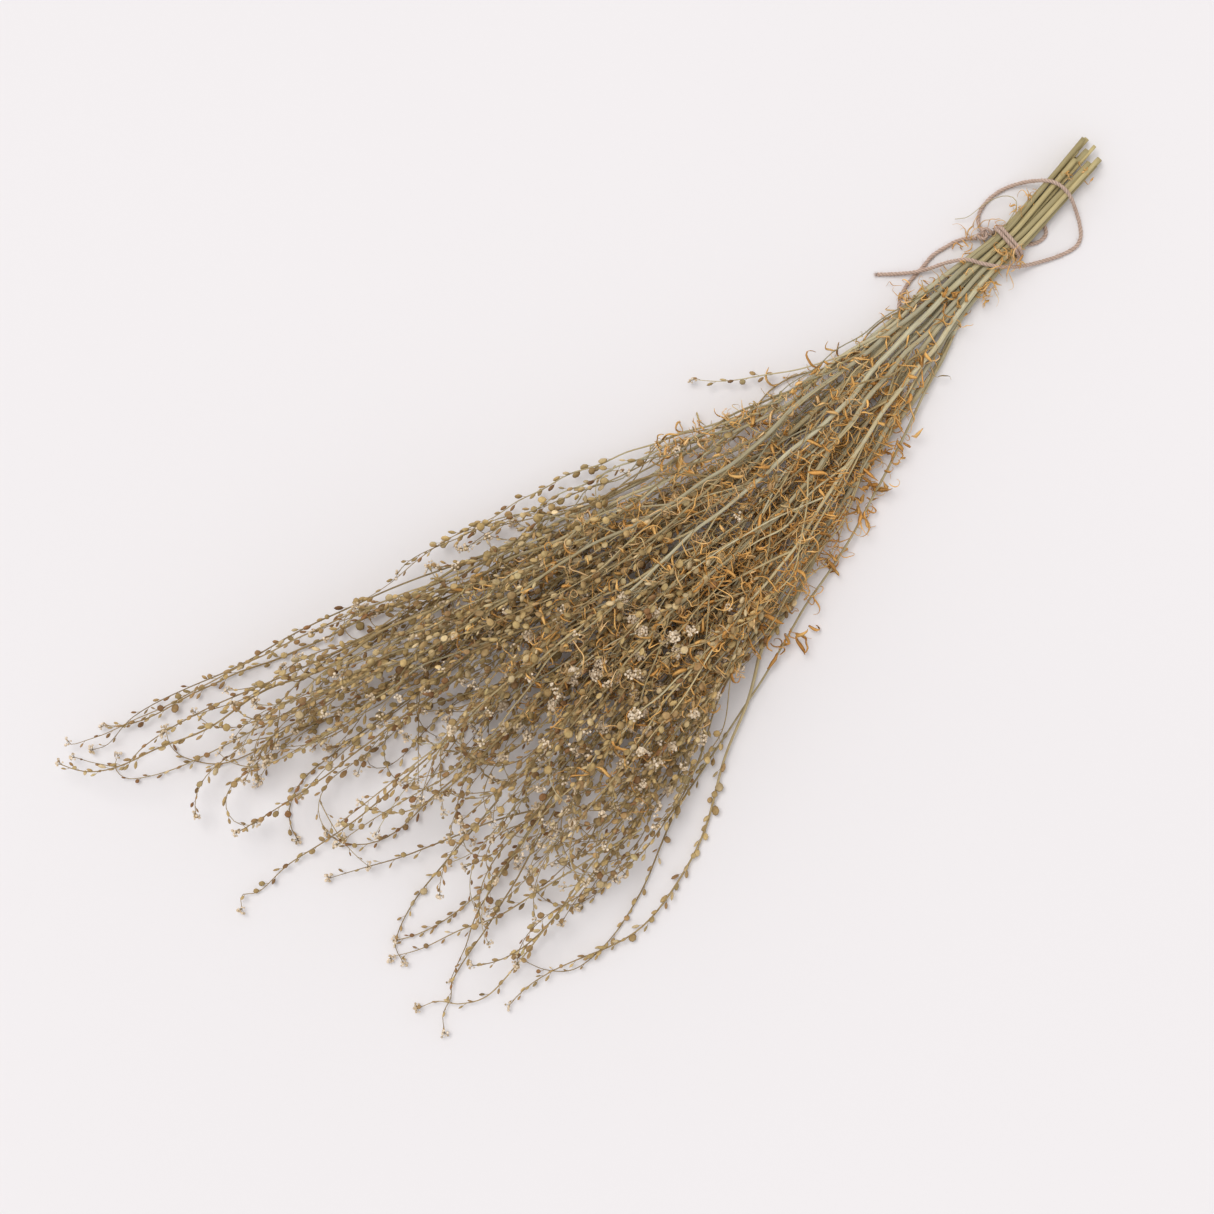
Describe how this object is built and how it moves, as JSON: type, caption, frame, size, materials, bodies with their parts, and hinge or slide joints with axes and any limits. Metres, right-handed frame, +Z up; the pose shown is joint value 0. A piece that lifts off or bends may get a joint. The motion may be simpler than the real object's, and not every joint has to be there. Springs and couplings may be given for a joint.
{
  "type": "bunch of dried cress",
  "caption": "Bunch of dried cress gone to seed, with long thin pod-bearing spikes fanning out from stems tied with jute twine; it lies on its side.",
  "frame": {"origin": "under the middle of the bunch, the loose twine apart, on the surface that it lies on", "axes": "+X from the cut ends to the flowering tips, +Y across the bunch, +Z up from the surface it lies on"},
  "size_m": [0.6546, 0.2992, 0.0856],
  "materials": {
    "stems": "matte",
    "pods": "matte",
    "flowers": "matte",
    "leaves": "matte",
    "twine": "matte"
  },
  "bodies": {
    "root": {"stem_01": "stems", "pods_01": "pods", "flowers_01": "flowers", "leaf_01": "leaves", "stem_02": "stems", "pods_02": "pods", "flowers_02": "flowers", "leaf_02": "leaves", "stem_03": "stems", "pods_03": "pods", "flowers_03": "flowers", "leaf_03": "leaves", "stem_04": "stems", "pods_04": "pods", "flowers_04": "flowers", "leaf_04": "leaves", "stem_05": "stems", "pods_05": "pods", "flowers_05": "flowers", "leaf_05": "leaves", "stem_06": "stems", "pods_06": "pods", "flowers_06": "flowers", "leaf_06": "leaves", "stem_07": "stems", "pods_07": "pods", "flowers_07": "flowers", "leaf_07": "leaves", "stem_08": "stems", "pods_08": "pods", "flowers_08": "flowers", "leaf_08": "leaves", "stem_09": "stems", "pods_09": "pods", "flowers_09": "flowers", "leaf_09": "leaves", "stem_10": "stems", "pods_10": "pods", "flowers_10": "flowers", "leaf_10": "leaves", "stem_11": "stems", "pods_11": "pods", "flowers_11": "flowers", "leaf_11": "leaves", "stem_12": "stems", "pods_12": "pods", "flowers_12": "flowers", "leaf_12": "leaves", "stem_13": "stems", "pods_13": "pods", "flowers_13": "flowers", "leaf_13": "leaves", "stem_14": "stems", "pods_14": "pods", "flowers_14": "flowers", "leaf_14": "leaves", "twine_binding": "twine", "twine_knot": "twine", "twine_loop": "twine", "twine_strand": "twine"}
  },
  "joints": []
}
